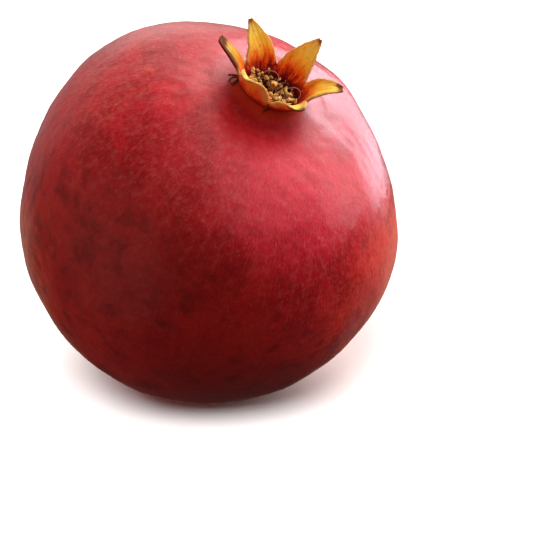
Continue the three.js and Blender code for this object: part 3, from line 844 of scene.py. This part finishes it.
# Filaments: quadratic curves from the disc by way of a knee, their roots spaced by the golden turn and
# drawn towards the heap.
random = np.random.default_rng(11)
number = np.arange(STAMEN_COUNT)
golden = number * GOLDEN_TURN
root_turn = golden - 0.92 * np.sin(golden - HEAP_TOWARDS)
root_radius = ROOTS_INNER + ROOTS_DEPTH * np.sqrt((number + 0.5) / STAMEN_COUNT)
root = ring(root_radius, DISC_TOP - 0.0003, root_turn)
heaped = (1 + np.cos(root_turn - HEAP_TOWARDS)) / 2
tip_radius = root_radius + 0.0016 * heaped + random.uniform(-0.0009, 0.0009, STAMEN_COUNT)
tip_radius = np.clip(tip_radius, ROOTS_INNER, TIPS_OUTER)
tip = ring(tip_radius, DISC_TOP + 0.0022 * heaped + random.uniform(0.0014, 0.0040, STAMEN_COUNT),
           root_turn + np.radians(random.uniform(-40, 40, STAMEN_COUNT)))
knee = (root + tip) / 2 + ring(0.0009, 0.0, random.uniform(0, 2 * pi, STAMEN_COUNT))
knee[:, 2] = root[:, 2] + 0.7 * (tip[:, 2] - root[:, 2])
s = np.linspace(0, 1, FILAMENT_ROWS)[:, None]
filaments = (1 - s) ** 2 * root[:, None] + 2 * s * (1 - s) * knee[:, None] + s ** 2 * tip[:, None]

# Filaments that spring from the cup's wall and bow inwards.
wall_turn = np.arange(WALL_FILAMENTS) * 2 * pi / WALL_FILAMENTS + random.uniform(-0.05, 0.05, WALL_FILAMENTS)
wall_height = random.uniform(-0.0012, 0.0014, WALL_FILAMENTS)
wall_reach = random.uniform(0.0010, 0.0026, WALL_FILAMENTS)[:, None]
wall_bow = random.uniform(0.6, 2.6, WALL_FILAMENTS)[:, None]
wall_stray = random.uniform(-0.25, 0.25, WALL_FILAMENTS)[:, None]
t = np.linspace(0, 1, WALL_ROWS)
wall_filaments = ring(WAIST_RADIUS - wall_reach * np.sin(t * wall_bow),
                      wall_height[:, None] + wall_reach * 1.15 * t, wall_turn[:, None] + wall_stray * t ** 1.5)

# Anthers: two bowed lobes side by side on each filament's tip, lying any way, plumpest in the middle.
lobe_share = np.linspace(-1, 1, 6)
lie = heading(np.radians(random.uniform(35, 105, STAMEN_COUNT)), random.uniform(0, 2 * pi, STAMEN_COUNT))
beside = unit(np.cross(lie, heading(np.radians(50), random.uniform(0, 2 * pi, STAMEN_COUNT))))
bow = np.cross(lie, beside)
size = random.uniform(0.75, 1.15, STAMEN_COUNT)[:, None, None]
lobes = [tip[:, None] + size * (lie[:, None] * (lobe_share * ANTHER_LENGTH / 2)[:, None]
                                + beside[:, None] * hand * ANTHER_WIDTH * 0.42
                                + bow[:, None] * (0.0004 * (1 - lobe_share ** 2))[:, None]) for hand in (-1, 1)]
plump = (ANTHER_WIDTH / 2) * np.sqrt(1.08 - lobe_share ** 2)

# Two longer filaments that loop right over, in one slanted plane: middle, radius, and the turns at which
# each starts and ends.
LOOP_RIGHT, LOOP_UP = unit(np.array([0.57, 0.74, 0.36])), unit(np.array([-0.68, 0.19, 0.71]))
LOOPS = [((-0.0038, 0.0021, 0.0022), 0.0023, 215, -40), ((0.0033, 0.0049, 0.0022), 0.0020, 200, -60)]
loop_share = np.linspace(0, 1, 26)
loop_turn = np.radians([start + (end - start) * loop_share for *_, start, end in LOOPS])[..., None]
loop_radius = np.array([[[radius]] for _, radius, *_ in LOOPS]) * (1 + 0.08 * np.sin(loop_turn * 2.3 + 1))
loop_paths = (np.array([[middle] for middle, *_ in LOOPS])
              + loop_radius * (np.cos(loop_turn) * LOOP_RIGHT + np.sin(loop_turn) * LOOP_UP))

# Filaments without an anther, each curled over at its own turn round the cup.
curl_share = np.linspace(0, 1, 14)
curl_turn = np.radians([150, 190, 230, 265, 20, 340, 305, 100, 60])[:, None]
CURLS = len(curl_turn)
curl_size = random.uniform(0.0011, 0.0019, CURLS)[:, None]
bend = curl_share * random.uniform(3.0, 4.6, CURLS)[:, None]
curl_radius = random.uniform(0.0042, 0.0056, CURLS)[:, None]
curls = ring(curl_radius - curl_size * (1 - np.cos(bend)) * 0.8,
             DISC_TOP + 0.0024 * curl_share + curl_size * 1.4 * np.sin(bend) + 0.0006,
             curl_turn + 0.25 * np.sin(bend * 0.8))

# The disc that carries them, by radius and height round its section. Its top is uneven.
DISC_PROFILE = [
    (DISC_BORE, DISC_BOTTOM), (DISC_RADIUS, DISC_BOTTOM), (DISC_RADIUS, DISC_TOP - 0.0002),
    (0.0060, DISC_TOP), (0.0046, DISC_TOP + 0.0002), (0.0030, DISC_TOP),
    (DISC_BORE, DISC_TOP - 0.0001), (DISC_BORE, DISC_BOTTOM),
]
disc_turn = np.linspace(0, 2 * pi, 72, endpoint=False)
disc = np.stack([ring(radius, height, disc_turn) for radius, height in DISC_PROFILE])
disc[3:6, :, 2] += 0.0002 * waves(disc[3:6], 0.0018, seed=5)
stamen_heap = Patchwork()
stamen_heap.add(disc, True, anther=0.0, up=0.0)

# Every thread: its path, how thick it is along it against a filament, the sides of its section, and
# where its colour starts and ends, from root (0) to tip (1).
THREADS = [
    (filaments, np.ones(FILAMENT_ROWS), 5, 0.0, 1.0),
    (curls, 1.2 - 0.6 * curl_share, 6, 0.5, 1.0),
    (loop_paths, 1.1 - 0.5 * loop_share, 6, 0.6, 0.95),
    (wall_filaments, np.full(WALL_ROWS, 0.85), 5, 0.1, 0.9),
]
for paths, thickness, sides, start, end in THREADS:
    for rod in rods(paths, np.broadcast_to(FILAMENT_RADIUS * thickness, paths.shape[:2]), sides):
        stamen_heap.add(rod, True, anther=0.0, up=np.linspace(start, end, len(rod))[:, None])
for lobe in lobes:
    for rod in rods(lobe, plump * size[:, :, 0], 6):
        stamen_heap.add(rod, True, anther=1.0, up=1.0)

stamens = Finish("dried_stamens")
on_stamens = stamens.node("TexCoord", {}, "Object")
which_anther = stamens.noise(on_stamens, 620.0, 2.0, 0.5)
dust = stamens.noise(on_stamens, 5200.0, 3.0, 0.6)
pollen = stamens.ramp(which_anther, [
    (0.30, 166, 112, 44), (0.45, 226, 170, 78), (0.62, 250, 214, 126)])
pollen = stamens.blend(stamens.remap(dust, 0.52, 0.66, 0.0, 0.6), pollen, tone(112, 62, 28))
threads = stamens.ramp(stamens.attribute("up"), [
    (0.0, 64, 14, 16), (0.55, 120, 44, 36), (1.0, 206, 150, 120)])
stamens.surface(Base_Color=stamens.blend(stamens.attribute("anther"), threads, pollen), Roughness=0.75,
                Specular_IOR_Level=0.3, Normal=stamens.bump(dust, 0.5, 0.00015))
place("stamens", stamen_heap.mesh("stamens", on_crown), stamens, "stamens", "stamens")


# -------------------------------------------------------------- style
# The withered style in the middle of the stamens: a thin ribbed stalk, swollen at its foot, with a
# knobbed stigma on top.

# Radius and height from the foot up. A cosine wave round it makes the five ribs.
STYLE_PROFILE = np.array([
    (0.0, -0.0021), (0.00105, -0.0021), (0.00098, -0.0018), (0.00072, -0.0011), (0.00060, -0.0004),
    (0.00056, 0.0012), (0.00058, 0.0026), (0.00062, 0.0033), (0.00088, 0.0037), (0.00095, 0.0040),
    (0.00080, 0.0043), (0.00040, 0.00437), (0.0, 0.0044),
])
STYLE_RIBS, STYLE_RIB_DEPTH = 5, 0.07
style_turn = np.linspace(0, 2 * pi, 40, endpoint=False)
style_radius = STYLE_PROFILE[:, :1] * (1 + STYLE_RIB_DEPTH * np.cos(STYLE_RIBS * style_turn))
style_rings = ring(style_radius, STYLE_PROFILE[:, 1:], style_turn)

style = Finish("withered_style")
on_style = style.node("TexCoord", {}, "Object")
furrows = style.noise(style.scaled(on_style, (900.0, 900.0, 400.0)), 1.0, 4.0, 0.6)
tan_brown = style.ramp(furrows, [(0.35, 120, 66, 28), (0.5, 204, 144, 66), (0.65, 244, 196, 104)])
style.surface(Base_Color=tan_brown, Roughness=0.7, Specular_IOR_Level=0.3, Normal=style.bump(furrows, 0.5, 0.0002))
place("style", solid_from_rings("style", style_rings, on_crown), style, "style", "style")


# --------------------------------------------------------- stalk stub
# The stub of the stalk in its socket at the bottom, cut across with shears. It is grey-brown bark,
# split lengthways, with paler wood and a small hollow pith where it was cut.

# Radius, and height above the cut, from the middle of the cut round to the stub's inner end. Splits, the
# folds of a sine, and two finer waves run down the bark.
STALK_PROFILE = np.array([
    (0.0, 0.00055), (0.00035, 0.00055), (0.0005, 0.0003), (0.0012, 0.00022), (0.0019, 0.00012),
    (0.00215, 0.0), (0.00240, 0.00004), (0.00262, 0.00018), (0.0027, 0.0005), (0.00262, 0.0010),
    (0.0025, 0.0016), (0.00248, 0.0022), (0.0026, 0.0030), (0.00288, 0.0037), (0.0032, 0.0044),
    (0.0032, 0.0050), (0.0032, 0.0055), (0.0, 0.0055),
])
STALK_LENGTH, CUT_RINGS = 0.0042, 6
stalk_turn = np.linspace(0, 2 * pi, 96, endpoint=False)
splits = 0.030 * np.abs(np.sin(4.5 * stalk_turn + 0.6))
fibre_waves = 0.018 * np.sin(11 * stalk_turn) - 0.012 * np.cos(23 * stalk_turn + STALK_PROFILE[:, 1:] * 2200)
stalk_rings = ring(STALK_PROFILE[:, :1] * (1 - splits + fibre_waves),
                   STALK_PROFILE[:, 1:] - (stalk_end + STALK_LENGTH), stalk_turn)
is_cut = (np.arange(len(STALK_PROFILE)) < CUT_RINGS).astype(float)[:, None]

bark = Finish("stalk_bark")
on_bark = bark.node("TexCoord", {}, "Object")
fibres = bark.noise(on_bark, 1300.0, 5.0, 0.65)
bark_colour = bark.ramp(fibres, [(0.35, 58, 42, 32), (0.50, 104, 80, 58), (0.66, 150, 124, 94)])
wood_colour = bark.ramp(fibres, [(0.35, 142, 108, 70), (0.65, 198, 168, 120)])
bark.surface(Base_Color=bark.blend(bark.attribute("cut"), bark_colour, wood_colour), Roughness=0.85,
             Specular_IOR_Level=0.25, Normal=bark.bump(fibres, 0.6, 0.0003))
stub_mesh = solid_from_rings("stem_stub", stalk_rings, laid_on_table, cut=is_cut)
place("stem_stub", stub_mesh, bark, "stem_stub", "stem_stub")
